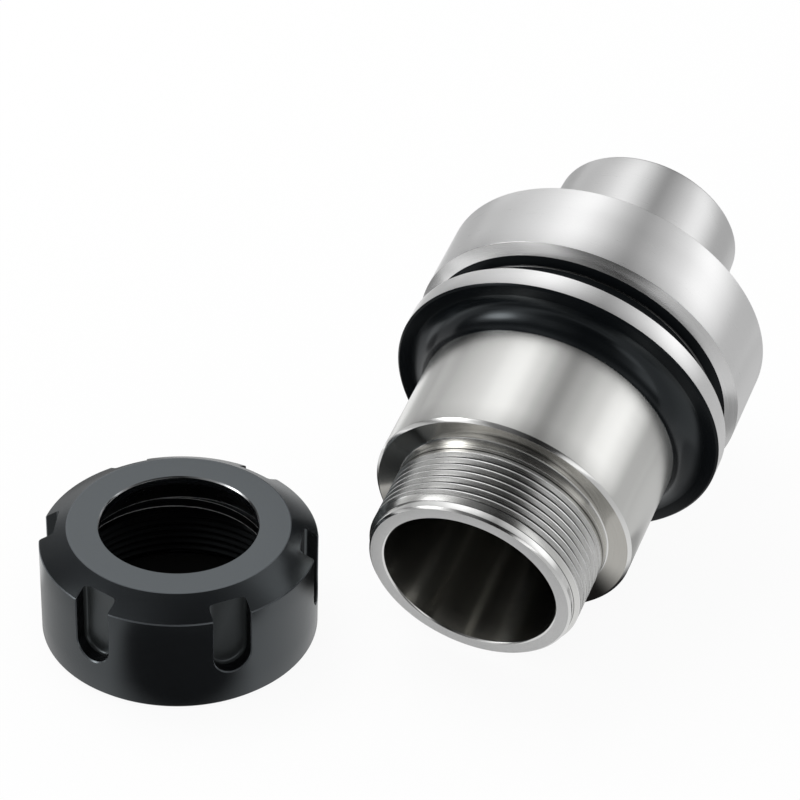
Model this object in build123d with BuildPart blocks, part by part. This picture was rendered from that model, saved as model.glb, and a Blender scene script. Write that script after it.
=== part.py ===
from build123d import *
import os
from math import atan2, cos, degrees, radians, sin, tan

# Collet chuck holder: the chuck body lies on its side, the clamping nut stands beside it.
# Sizes are in millimetres and degrees. Places along the chuck body are measured from the
# gauge face, the flange face that seats on the spindle, and grow towards the collet end.

# Hollow taper shank
shank_length = 25.0
taper_gauge_diameter = 38.009
taper_gauge_setback = 5.0
taper_ratio = 9.98
shank_end_chamfer = 1.6
relief_width = 1.6
relief_depth = 0.4
face_relief_depth = 0.25
face_seat_clearance = 0.6

# Drawbar cavity inside the shank
drawbar_mouth_diameter = 26.0
drawbar_mouth_chamfer = 1.2
drawbar_shoulder_setback = 14.13
drawbar_shoulder_angle = 30.0
drawbar_cavity_diameter = 32.0
drawbar_cavity_floor = 3.0
drawbar_cavity_corner = 1.0
passage_diameter = 16.0

# Gripper flange with its V groove
flange_diameter = 63.0
flange_width = 26.0
flange_edge_chamfer = 0.4
groove_centre = 18.3
groove_rim_width = 7.0
groove_angle = 60.0
groove_depth = 4.0
groove_root_radius = 0.4
front_ring_width = 2.2

# Neck and threaded nose
neck_diameter = 49.0
shoulder_place = 53.0
neck_edge_chamfer = 0.6
thread_major_diameter = 40.0
shoulder_root_fillet = 0.3
nose_length = 16.0
thread_height = 0.81
pilot_clearance = 0.04
pilot_length = 3.0
thread_end_angle = 45.0
nose_edge_chamfer = 0.4

# Collet socket inside the nose
socket_mouth_diameter = 32.6
socket_half_angle = 8.0
socket_taper_length = 33.0
socket_mouth_chamfer = 0.25
socket_depth = 46.0
drill_point_half_angle = 59.0

# Clamping nut, measured down from its front face
nut_height = 22.0
nut_base_chamfer = 0.8
nut_cone_width = 5.0
nut_cone_drop = 3.2
nut_hole_diameter = 28.4
nut_hole_depth = 1.5
nut_hole_chamfer = 0.3
seat_half_angle = 30.0
seat_large_diameter = 34.8
extraction_lip_thickness = 2.0
extraction_lip_offset = 1.2
extraction_lip_heading = 210.0
thread_relief_width = 2.0
thread_relief_clearance = 0.3
slot_count = 6
slot_width = 7.0
slot_depth = 2.9
slot_wall = 1.8
slot_bottom_height = 6.8
slot_corner_radius = 0.6
slot_heading = 18.2

# Where the nut stands, from the centre of the gauge face
nut_offset_x = -52.2
nut_offset_y = -75.8

flange_radius = flange_diameter / 2
neck_radius = neck_diameter / 2
nose_radius = thread_major_diameter / 2
thread_minor_radius = nose_radius - thread_height
pilot_radius = thread_minor_radius - pilot_clearance
thread_relief_radius = nose_radius + thread_relief_clearance
flange_root_fillet = flange_radius - flange_edge_chamfer - front_ring_width - neck_radius
slot_floor_radius = thread_relief_radius + slot_wall
nut_radius = slot_floor_radius + slot_depth
nut_face_radius = nut_radius - nut_cone_width
nut_hole_radius = nut_hole_diameter / 2
seat_large_radius = seat_large_diameter / 2


def taper_radius(place):
    """Radius of the shank's taper at a place along the chuck body."""
    return taper_gauge_diameter / 2 + (place + taper_gauge_setback) / (2 * taper_ratio)


# The body lies on two edges, the flange's front rim and the neck's front edge,
# so its axis dips towards the collet end by the angle of the line through them.
rim_contact = flange_width - flange_edge_chamfer
neck_contact = shoulder_place - neck_edge_chamfer
dip = atan2(flange_radius - neck_radius, neck_contact - rim_contact)
gauge_height = flange_radius * cos(dip) + rim_contact * sin(dip)

# The row's origin is on the floor, under the middle of the whole set.
shank_end_radius = taper_radius(-shank_length)
rear_reach = shank_length * cos(dip) + (shank_end_radius - shank_end_chamfer) * sin(dip)
set_centre_x = (flange_radius + nut_offset_x - nut_radius) / 2
set_centre_y = (rear_reach + nut_offset_y - nut_radius) / 2
gauge_point = (-set_centre_x, -set_centre_y, gauge_height)
nut_base_point = (nut_offset_x - set_centre_x, nut_offset_y - set_centre_y, 0)

# Section planes: x runs along the turned axis, y is the radius.
body_plane = Plane(origin=gauge_point, x_dir=(0, -cos(dip), -sin(dip)), z_dir=(-1, 0, 0))
nut_plane = Plane(origin=nut_base_point, x_dir=(0, 0, 1), z_dir=(0, 1, 0))
nut_upright = Plane(origin=nut_base_point)
body_axis = Axis(body_plane.origin, body_plane.x_dir)
nut_axis = Axis(nut_plane.origin, nut_plane.x_dir)

# Chuck body: outside profile. The undercut at the shank's root runs into the gauge face
# too, so that the spindle's face seats clear of the taper.
groove_flank = groove_depth * tan(radians(groove_angle / 2))
groove_root_radial = flange_radius - groove_depth
groove_rear = groove_centre - groove_rim_width / 2
groove_front = groove_centre + groove_rim_width / 2
nose_face = shoulder_place + nose_length
thread_end = nose_face - pilot_length
thread_end_run = (nose_radius - pilot_radius) / tan(radians(thread_end_angle))
shank_corner = shank_end_chamfer - shank_length
relief_radius = taper_radius(-relief_width) - relief_depth
face_seat_radius = taper_radius(-relief_width) + face_seat_clearance
outside_points = [
    (-shank_length, 0),
    (-shank_length, shank_end_radius - shank_end_chamfer),
    (shank_corner, taper_radius(shank_corner)),
    (-relief_width, taper_radius(-relief_width)),
    (relief_depth - relief_width, relief_radius),
    (face_relief_depth, relief_radius),
    (face_relief_depth, face_seat_radius - face_relief_depth),
    (0, face_seat_radius),
    (0, flange_radius - flange_edge_chamfer),
    (flange_edge_chamfer, flange_radius),
    (groove_rear, flange_radius),
    (groove_rear + groove_flank, groove_root_radial),
    (groove_front - groove_flank, groove_root_radial),
    (groove_front, flange_radius),
    (rim_contact, flange_radius),
    (flange_width, flange_radius - flange_edge_chamfer),
    (flange_width, neck_radius),
    (neck_contact, neck_radius),
    (shoulder_place, neck_radius - neck_edge_chamfer),
    (shoulder_place, nose_radius),
    (thread_end - thread_end_run, nose_radius),
    (thread_end, pilot_radius),
    (nose_face - nose_edge_chamfer, pilot_radius),
    (nose_face, pilot_radius - nose_edge_chamfer),
    (nose_face, 0),
]

# Chuck body: hollow profile, from the drawbar mouth through to the collet mouth
drawbar_mouth_radius = drawbar_mouth_diameter / 2
drawbar_cavity_radius = drawbar_cavity_diameter / 2
drawbar_cavity_rise = drawbar_cavity_radius - drawbar_mouth_radius
drawbar_cavity_start = drawbar_cavity_rise / tan(radians(drawbar_shoulder_angle)) - drawbar_shoulder_setback
passage_radius = passage_diameter / 2
socket_mouth_radius = socket_mouth_diameter / 2
socket_end = nose_face - socket_taper_length
socket_end_radius = socket_mouth_radius - socket_taper_length * tan(radians(socket_half_angle))
drill_point_start = nose_face - socket_depth
drill_point_length = (socket_end_radius - passage_radius) / tan(radians(drill_point_half_angle))
socket_lip_radius = socket_mouth_radius - socket_mouth_chamfer * tan(radians(socket_half_angle))
hollow_points = [
    (-shank_length, 0),
    (-shank_length, drawbar_mouth_radius + drawbar_mouth_chamfer),
    (drawbar_mouth_chamfer - shank_length, drawbar_mouth_radius),
    (-drawbar_shoulder_setback, drawbar_mouth_radius),
    (drawbar_cavity_start, drawbar_cavity_radius),
    (drawbar_cavity_floor, drawbar_cavity_radius),
    (drawbar_cavity_floor, passage_radius),
    (drill_point_start - drill_point_length, passage_radius),
    (drill_point_start, socket_end_radius),
    (socket_end, socket_end_radius),
    (nose_face - socket_mouth_chamfer, socket_lip_radius),
    (nose_face, socket_mouth_radius + socket_mouth_chamfer),
    (nose_face, 0),
]

with BuildPart() as chuck_body:
    with BuildSketch(body_plane) as body_section:
        with BuildLine():
            Polyline(*outside_points, close=True)
        make_face()
        corners = body_section.vertices()
        flange_root = corners.sort_by_distance((flange_width, neck_radius))[0]
        shoulder_root = corners.sort_by_distance((shoulder_place, nose_radius))[0]
        groove_roots = corners.sort_by_distance((groove_centre, groove_root_radial))[0:2]
        fillet(flange_root, radius=flange_root_fillet)
        fillet(shoulder_root, radius=shoulder_root_fillet)
        fillet(groove_roots, radius=groove_root_radius)
    revolve(axis=body_axis)
    with BuildSketch(body_plane) as hollow_section:
        with BuildLine():
            Polyline(*hollow_points, close=True)
        make_face()
        cavity_corner_point = (drawbar_cavity_floor, drawbar_cavity_radius)
        cavity_corner = hollow_section.vertices().sort_by_distance(cavity_corner_point)[0]
        fillet(cavity_corner, radius=drawbar_cavity_corner)
    revolve(axis=body_axis, mode=Mode.SUBTRACT)
chuck_body.part.label = "chuck_body"

# Wrench slot cutter: a round-ended slot seen from outside, with rounded inner corners.
# Its x axis is the slot's outward direction, and it starts at the slot's floor.
slot_end_height = slot_bottom_height + slot_width / 2
slot_run_out = nut_height - slot_end_height + slot_width
slot_plane = Plane(origin=(slot_floor_radius, 0, slot_end_height), x_dir=(0, 1, 0), z_dir=(1, 0, 0))
with BuildPart() as slot_cutter:
    with BuildSketch(slot_plane):
        Circle(slot_width / 2)
        with Locations((0, slot_run_out / 2)):
            Rectangle(slot_width, slot_run_out)
    extrude(amount=2 * slot_depth)
    fillet(slot_cutter.faces().sort_by(Axis.X)[0].edges(), radius=slot_corner_radius)

# Clamping nut, turned about its own axis with its front face up
seat_length = (seat_large_radius - nut_hole_radius) / tan(radians(seat_half_angle))
seat_end = nut_height - nut_hole_depth - seat_length
lip_end = seat_end - extraction_lip_thickness
thread_entry_chamfer = thread_relief_radius - thread_minor_radius
nut_outside_points = [
    (0, 0),
    (0, nut_radius - nut_base_chamfer),
    (nut_base_chamfer, nut_radius),
    (nut_height - nut_cone_drop, nut_radius),
    (nut_height, nut_face_radius),
    (nut_height, 0),
]
nut_hollow_points = [
    (0, 0),
    (0, thread_relief_radius),
    (thread_entry_chamfer, thread_minor_radius),
    (lip_end - thread_relief_width, thread_minor_radius),
    (lip_end - thread_relief_width, thread_relief_radius),
    (lip_end, thread_relief_radius),
    (lip_end, nut_hole_radius),
    (seat_end, nut_hole_radius),
    (seat_end, seat_large_radius),
    (nut_height - nut_hole_depth, nut_hole_radius),
    (nut_height - nut_hole_chamfer, nut_hole_radius),
    (nut_height, nut_hole_radius + nut_hole_chamfer),
    (nut_height, 0),
]
lip_shift_x = extraction_lip_offset * cos(radians(extraction_lip_heading))
lip_shift_y = extraction_lip_offset * sin(radians(extraction_lip_heading))

with BuildPart() as clamping_nut:
    with BuildSketch(nut_plane):
        with BuildLine():
            Polyline(*nut_outside_points, close=True)
        make_face()
        with BuildLine():
            Polyline(*nut_hollow_points, close=True)
        make_face(mode=Mode.SUBTRACT)
    revolve(axis=nut_axis)
    # The extraction lip is bored off centre, so it grips the collet's groove on one side.
    with BuildSketch(nut_upright.offset(lip_end)):
        with Locations((lip_shift_x, lip_shift_y)):
            Circle(seat_large_radius)
    extrude(amount=extraction_lip_thickness, mode=Mode.SUBTRACT)
    with Locations(nut_upright):
        with PolarLocations(0, slot_count, start_angle=slot_heading):
            add(slot_cutter.part, mode=Mode.SUBTRACT)
clamping_nut.part.label = "clamping_nut"

os.makedirs("parts", exist_ok=True)
export_step(chuck_body.part, "parts/chuck_body.step")
export_step(clamping_nut.part, "parts/clamping_nut.step")
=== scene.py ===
from math import atan2, cos, floor, pi, radians, sin, sqrt, tan

import bmesh
import bpy
from mathutils import Matrix, Vector


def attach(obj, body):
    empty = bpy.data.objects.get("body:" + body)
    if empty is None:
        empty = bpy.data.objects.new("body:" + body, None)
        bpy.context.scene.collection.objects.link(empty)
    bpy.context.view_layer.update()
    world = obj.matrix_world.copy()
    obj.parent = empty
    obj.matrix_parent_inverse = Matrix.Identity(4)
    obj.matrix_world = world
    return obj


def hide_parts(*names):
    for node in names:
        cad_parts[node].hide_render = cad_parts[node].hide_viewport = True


# Collet chuck holder: the chuck body lies on its side and the clamping nut stands beside it.
# Sizes are in millimetres and degrees, as in the part's source. Turned.point() makes them metres.
# Places along the chuck body are measured from the gauge face, the flange face that seats on the
# spindle, and grow towards the collet end. Heights on the nut are measured up from the floor.

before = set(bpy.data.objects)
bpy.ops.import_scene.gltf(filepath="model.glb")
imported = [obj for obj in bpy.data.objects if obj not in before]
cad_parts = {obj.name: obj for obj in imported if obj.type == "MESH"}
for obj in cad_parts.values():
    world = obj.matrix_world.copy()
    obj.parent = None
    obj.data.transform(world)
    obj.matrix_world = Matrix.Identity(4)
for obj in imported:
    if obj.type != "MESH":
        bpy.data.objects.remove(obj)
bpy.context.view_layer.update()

MM = 0.001
BODY_SEGMENTS = 384
NUT_SEGMENTS = 288
LONGEST_STEP = 4.0
CORNER_STEPS = 3
SHARP_ANGLE = 28.0
# The v direction of the UV map is 1 per this length of profile.
UV_LENGTH = 100.0
THREAD_ROW_V = 0.2
# Two places along a thread that are nearer than this are the same.
CLOSE = 1e-6

# Hollow taper shank
SHANK_LENGTH = 25.0
TAPER_GAUGE_DIAMETER = 38.009
TAPER_GAUGE_SETBACK = 5.0
TAPER_RATIO = 9.98
SHANK_END_CHAMFER = 1.6
RELIEF_WIDTH = 1.6
RELIEF_DEPTH = 0.4
FACE_RELIEF_DEPTH = 0.25
FACE_SEAT_CLEARANCE = 0.6

# Drawbar cavity inside the shank
DRAWBAR_MOUTH_RADIUS = 13.0
DRAWBAR_MOUTH_CHAMFER = 1.2
DRAWBAR_SHOULDER_SETBACK = 14.13
DRAWBAR_SHOULDER_ANGLE = 30.0
DRAWBAR_CAVITY_RADIUS = 16.0
DRAWBAR_CAVITY_FLOOR = 3.0
PASSAGE_RADIUS = 8.0

# Gripper flange with its V groove. The outer part of the groove's flanks is bare steel.
FLANGE_RADIUS = 31.5
FLANGE_WIDTH = 26.0
FLANGE_EDGE_CHAMFER = 0.4
FLANGE_ROOT_FILLET = 4.4
FILLET_STEPS = 14
GROOVE_REAR = 14.8
GROOVE_FRONT = 21.8
GROOVE_HALF_ANGLE = 30.0
GROOVE_DEPTH = 4.0
BARE_FLANK_DEPTH = 2.2
# How deep the grey band at the groove's rear root corner starts. The band is a painted highlight.
GROOVE_HIGHLIGHT_DEPTH = 3.75

# Neck and threaded nose
NECK_RADIUS = 24.5
NECK_EDGE_CHAMFER = 0.6
# Where the painted highlight line, a band of bright edge steel on the plain neck, starts and stops, from the
# fillet's end
NECK_HIGHLIGHT_START = 0.06
NECK_HIGHLIGHT_STOP = 0.2
SHOULDER = 53.0
SHOULDER_ROOT_FILLET = 0.3
NOSE_RADIUS = 20.0
NOSE_FACE = 69.0
NOSE_EDGE_CHAMFER = 0.4
PILOT_RADIUS = 19.15
PITCH = 1.5
NOSE_THREAD_START = 54.35
NOSE_THREAD_STOP = 66.45
NOSE_THREAD_DEPTH = 0.64
NOSE_CHAMFER_START = 66.55
NOSE_CHAMFER_STOP = 67.25
NOSE_CHAMFER_START_DROP = 0.14
# The dark seam between the nose chamfer and the pilot, from its middle along and across
NOSE_SEAM_HALF_LENGTH = 0.05
NOSE_SEAM_HALF_DROP = 0.04

# Collet socket inside the nose
SOCKET_MOUTH_RADIUS = 16.3
SOCKET_HALF_ANGLE = 8.0
SOCKET_TAPER_LENGTH = 33.0
SOCKET_DEPTH = 46.0
SOCKET_MOUTH_CHAMFER = 0.25
DRILL_POINT_LENGTH = 2.2

# Clamping nut
NUT_RADIUS = 25.0
NUT_HEIGHT = 22.0
NUT_BASE_CHAMFER = 0.8
NUT_CONE_WIDTH = 5.0
NUT_CONE_DROP = 3.2
NUT_HOLE_RADIUS = 14.2
NUT_HOLE_CHAMFER = 0.25
NUT_HOLE_DEPTH = 1.5
SEAT_RADIUS = 17.4
SEAT_HALF_ANGLE = 30.0
LIP_THICKNESS = 2.0
LIP_OFFSET = 1.2
LIP_HEADING = 210.0
NUT_THREAD_RADIUS = 19.19
NUT_THREAD_DEPTH = 0.75
THREAD_RELIEF_RADIUS = 20.3
THREAD_RELIEF_WIDTH = 2.0
# Painted highlight lines on the edges: how far their bands go below and above the cone's start, across and
# down the front ring's edge, and up or down the seat, the lip's top and the lip's bottom
CONE_EDGE_BELOW = 0.15
CONE_EDGE_ABOVE = 0.1
RING_EDGE_HALF_WIDTH = 0.1
RING_EDGE_DROP = 0.06
SEAT_EDGE_HEIGHT = 0.4
LIP_TOP_EDGE_HEIGHT = 0.15
LIP_BOTTOM_EDGE_HEIGHT = 0.22
SLOT_COUNT = 6
SLOT_WIDTH = 7.0
SLOT_FLOOR_RADIUS = 22.1
SLOT_END_HEIGHT = 10.5
SLOT_HEADING = 18.2
SLOT_CORNER_RADIUS = 0.6
SLOT_MOUTH_CHAMFER = 0.22
# The slots' cutters go on past the cone, down to a least radius there, and past the nut's outside.
CONE_LEAST_RADIUS = 5.0
CUTTER_LEAST_DEPTH = 0.02
CUTTER_OVERRUN = 5.0
# Heights of the points on a slot's sides. They follow the cylinder and the cone of the nut.
SLOT_SIDE_HEIGHTS = (12.0, 15.0, 18.8, 21.0, 24.0, 30.0)

# Where the nut stands, from the centre of the gauge face
NUT_OFFSET_X = -52.2
NUT_OFFSET_Y = -75.8


def taper_radius(place):
    """Radius of the shank's taper at a place along the chuck body."""
    return TAPER_GAUGE_DIAMETER / 2 + (place + TAPER_GAUGE_SETBACK) / (2 * TAPER_RATIO)


# The body lies on the flange's front rim and the neck's front edge, so its axis dips.
RIM_CONTACT = FLANGE_WIDTH - FLANGE_EDGE_CHAMFER
NECK_CONTACT = SHOULDER - NECK_EDGE_CHAMFER
DIP = atan2(FLANGE_RADIUS - NECK_RADIUS, NECK_CONTACT - RIM_CONTACT)
GAUGE_HEIGHT = FLANGE_RADIUS * cos(DIP) + RIM_CONTACT * sin(DIP)

# The origin is on the floor, under the middle of the whole set.
SHANK_END_RADIUS = taper_radius(-SHANK_LENGTH)
SET_REAR_Y = SHANK_LENGTH * cos(DIP) + (SHANK_END_RADIUS - SHANK_END_CHAMFER) * sin(DIP)
SET_CENTRE_X = (FLANGE_RADIUS + NUT_OFFSET_X - NUT_RADIUS) / 2
SET_CENTRE_Y = (SET_REAR_Y + NUT_OFFSET_Y - NUT_RADIUS) / 2
GAUGE_POINT = Vector((-SET_CENTRE_X, -SET_CENTRE_Y, GAUGE_HEIGHT))
NUT_BASE = Vector((NUT_OFFSET_X - SET_CENTRE_X, NUT_OFFSET_Y - SET_CENTRE_Y, 0.0))

BODY_AXIS = Vector((0.0, -cos(DIP), -sin(DIP)))
BODY_UP = Vector((0.0, -sin(DIP), cos(DIP)))
BODY_SIDE = BODY_AXIS.cross(BODY_UP)
NUT_AXIS = Vector((0.0, 0.0, 1.0))
NUT_UP = Vector((1.0, 0.0, 0.0))
NUT_SIDE = NUT_AXIS.cross(NUT_UP)


class Turned:
    """Builds a mesh of revolution about an axis, one ring of points after another."""

    def __init__(self, origin, axis, up, side, segments, finishes):
        self.mesh = bmesh.new()
        self.uv = self.mesh.loops.layers.uv.new("turned")
        self.origin = origin
        self.axis = axis
        self.up = up
        self.side = side
        self.segments = segments
        self.finishes = list(finishes)

    def point(self, along, radius, angle, shift=(0.0, 0.0)):
        """A point in metres, at an angle about the axis."""
        across = self.up * (radius * cos(angle) + shift[0]) + self.side * (radius * sin(angle) + shift[1])
        return (self.origin + self.axis * along + across) * MM

    def ring(self, along, radius, shift=(0.0, 0.0)):
        """One circle of points."""
        step = 2 * pi / self.segments
        return [self.mesh.verts.new(self.point(along, radius, i * step, shift)) for i in range(self.segments)]

    def band(self, first, second, v_first, v_second, finish):
        """Quads between two rings, with the u direction round the axis."""
        for i in range(self.segments):
            j = (i + 1) % self.segments
            self.quad((first[i], first[j], second[j], second[i]), i, v_first, v_second, finish)

    def quad(self, corners, i, v_first, v_second, finish):
        """One quad, or a triangle where two of its corners meet."""
        spots = ((i, v_first), (i + 1, v_first), (i + 1, v_second), (i, v_second))
        kept = []
        for corner, spot in zip(corners, spots):
            if corner not in [c for c, s in kept]:
                kept.append((corner, spot))
        if len(kept) < 3:
            return
        face = self.mesh.faces.new([c for c, s in kept])
        face.material_index = self.finishes.index(finish)
        face.smooth = True
        for loop, (c, s) in zip(face.loops, kept):
            loop[self.uv].uv = (s[0] / self.segments, s[1] / UV_LENGTH)

    def rings(self, profile, last=None):
        """Rings along a profile of (along, radius, finish, shift). last is an end ring to join."""
        rings = []
        for k, (along, radius, _, shift) in enumerate(profile):
            joins = last is not None and k == len(profile) - 1
            rings.append(last if joins else self.ring(along, radius, shift))
        v = 0.0
        for k, (a, b) in enumerate(zip(profile, profile[1:])):
            step = sqrt((a[0] - b[0]) ** 2 + (a[1] - b[1]) ** 2)
            self.band(rings[k], rings[k + 1], v, v + step, a[2])
            v += step
        return rings

    def made(self, name, materials):
        """The finished object, with its materials in the order of the finishes."""
        bmesh.ops.recalc_face_normals(self.mesh, faces=self.mesh.faces)
        mesh = bpy.data.meshes.new(name)
        self.mesh.to_mesh(mesh)
        self.mesh.free()
        for material in materials:
            mesh.materials.append(material)
        thing = bpy.data.objects.new(name, mesh)
        bpy.context.scene.collection.objects.link(thing)
        return thing


def softened(points):
    """Rounds the corners of a profile of (along, radius, corner radius, finish, shift)."""
    out = []
    for k, spot in enumerate(points):
        along, radius, corner, finish = spot[:4]
        shift = spot[4] if len(spot) > 4 else (0.0, 0.0)
        if not corner or k == 0 or k == len(points) - 1:
            out.append((along, radius, finish, shift))
            continue
        here = Vector((along, radius))
        back = Vector(points[k - 1][:2]) - here
        ahead = Vector(points[k + 1][:2]) - here
        half = back.angle(ahead) / 2
        # The rounding takes less than half of each side, so that it never meets the next one.
        reach = min(corner / tan(half), 0.48 * back.length, 0.48 * ahead.length)
        bend = reach * tan(half)
        start = here + back.normalized() * reach
        end = here + ahead.normalized() * reach
        centre = here + (back.normalized() + ahead.normalized()).normalized() * (bend / sin(half))
        turned_by = pi - 2 * half
        count = max(2, min(CORNER_STEPS * 4, round(CORNER_STEPS * turned_by / (pi / 2)) + 1))
        for n in range(count + 1):
            t = n / count
            arm = (start - centre).lerp(end - centre, t)
            # A straight step between the arc's ends is pushed out to the arc's radius.
            place = centre + arm.normalized() * bend
            use = points[k - 1][3] if t < 0.5 else finish
            out.append((place.x, place.y, use, shift))
    return out


def subdivided(profile):
    """Splits long steps of a profile, so that no face is much longer than it is wide."""
    out = []
    for a, b in zip(profile, profile[1:]):
        length = sqrt((a[0] - b[0]) ** 2 + (a[1] - b[1]) ** 2)
        pieces = max(1, int(length / LONGEST_STEP))
        for n in range(pieces):
            t = n / pieces
            out.append((a[0] + (b[0] - a[0]) * t, a[1] + (b[1] - a[1]) * t, a[2], a[3]))
    out.append(profile[-1])
    return out


def smooth(t):
    """0 before 0, 1 after 1, and an even curve between."""
    t = max(0.0, min(1.0, t))
    return t * t * (3 - 2 * t)


def thread(turned, start, end, crest_radius, depth, finishes, first, last, phase=0.0, fade_in=None):
    """A helical thread between two rings. Its rows follow the helix, so the crests are clean lines.
    depth is from the crest towards the root: positive inwards, negative outwards. phase is where on
    the pitch the helix starts. fade_in is the turn at which the groove starts to grow and over how
    many turns it does."""
    crest, flank, root = finishes
    # Share of the pitch, share of the depth and finish of each row
    rows = (
        (0.00, 0.0, crest),
        (0.12, 0.0, flank),
        (0.29, 0.5, flank),
        (0.46, 0.95, root),
        (0.56, 1.0, root),
        (0.66, 0.95, flank),
        (0.83, 0.5, flank),
    )
    count = len(rows)
    turns = int((end - start) / PITCH) + 3
    n = turned.segments
    verts = {}

    def spot(i, j):
        """The vertex of segment i on row j, where a full turn is one pitch of rows."""
        while i >= n:
            i -= n
            j += count
        key = (i, j)
        if key in verts:
            return verts[key]
        groove = floor(j / count)
        share, deep, _ = rows[j - groove * count]
        turn = groove - 1 + i / n + phase
        along = start + PITCH * (turn + share)
        if along <= start + CLOSE:
            verts[key] = first[i]
        elif along >= end - CLOSE:
            verts[key] = last[i]
        else:
            grown = smooth((turn - fade_in[0]) / fade_in[1]) if fade_in else 1.0
            radius = crest_radius - depth * deep * grown
            verts[key] = turned.mesh.verts.new(turned.point(along, radius, i * 2 * pi / n))
        return verts[key]

    for i in range(n):
        for j in range(-count, turns * count):
            groove = floor(j / count)
            share, _, finish = rows[j - groove * count]
            corners = (spot(i, j), spot(i + 1, j), spot(i + 1, j + 1), spot(i, j + 1))
            v = PITCH * (groove + share)
            turned.quad(corners, i, v, v + THREAD_ROW_V, finish)


# Shader nodes


def grey(level):
    """A neutral colour."""
    return (level, level, level)


def node(tree, kind, **values):
    """A shader node with its settings."""
    made = tree.nodes.new(kind)
    for key, value in values.items():
        setattr(made, key, value)
    return made


def maths(tree, operation, *inputs):
    """A math node on sockets or numbers. Gives its output."""
    made = node(tree, "ShaderNodeMath", operation=operation)
    for socket, value in zip(made.inputs, inputs):
        if isinstance(value, (int, float)):
            socket.default_value = value
        else:
            tree.links.new(value, socket)
    return made.outputs[0]


def split_xyz(tree, vector):
    """The three coordinates of a vector."""
    made = node(tree, "ShaderNodeSeparateXYZ")
    tree.links.new(vector, made.inputs[0])
    return made.outputs


def noise(tree, vector, scale, detail, rough=0.5):
    """A noise pattern between about -0.5 and 0.5."""
    made = node(tree, "ShaderNodeTexNoise")
    tree.links.new(vector, made.inputs["Vector"])
    made.inputs["Scale"].default_value = scale
    made.inputs["Detail"].default_value = detail
    made.inputs["Roughness"].default_value = rough
    return maths(tree, "SUBTRACT", made.outputs["Fac"], 0.5)


def smooth_step(tree, value, start, end, low, high):
    """A level that goes smoothly from low at start to high at end."""
    made = node(tree, "ShaderNodeMapRange", interpolation_type="SMOOTHSTEP")
    tree.links.new(value, made.inputs["Value"])
    made.inputs["From Min"].default_value = start
    made.inputs["From Max"].default_value = end
    made.inputs["To Min"].default_value = low
    made.inputs["To Max"].default_value = high
    return made.outputs["Result"]


def ramp(tree, source, stops):
    """A grey level that follows a value through (place, level) stops."""
    made = node(tree, "ShaderNodeValToRGB")
    tree.links.new(source, made.inputs[0])
    elements = made.color_ramp.elements
    made.color_ramp.interpolation = "EASE"
    for element, (place, level) in zip(elements, (stops[0], stops[-1])):
        element.position = place
        element.color = (*grey(level), 1.0)
    for place, level in stops[1:-1]:
        elements.new(place).color = (*grey(level), 1.0)
    return made.outputs[0]


def cleared_tree(owner):
    """The emptied node tree of a material or a world."""
    owner.use_nodes = True
    owner.node_tree.nodes.clear()
    return owner.node_tree


# Steel surfaces


# Noise scales in patterns per metre, how little the turning marks change round the axis, and how
# far the slow change of tone goes
MARK_SCALE = 6000.0
SPECK_SCALE = 4500.0
CLOUD_SCALE = 60.0
ROUND_SHARE = 0.02
RADIUS_SHARE = 1.7
CLOUD_DEPTH = 0.25
OXIDE_TINT = (0.86, 0.95, 1.0, 1.0)


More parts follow.
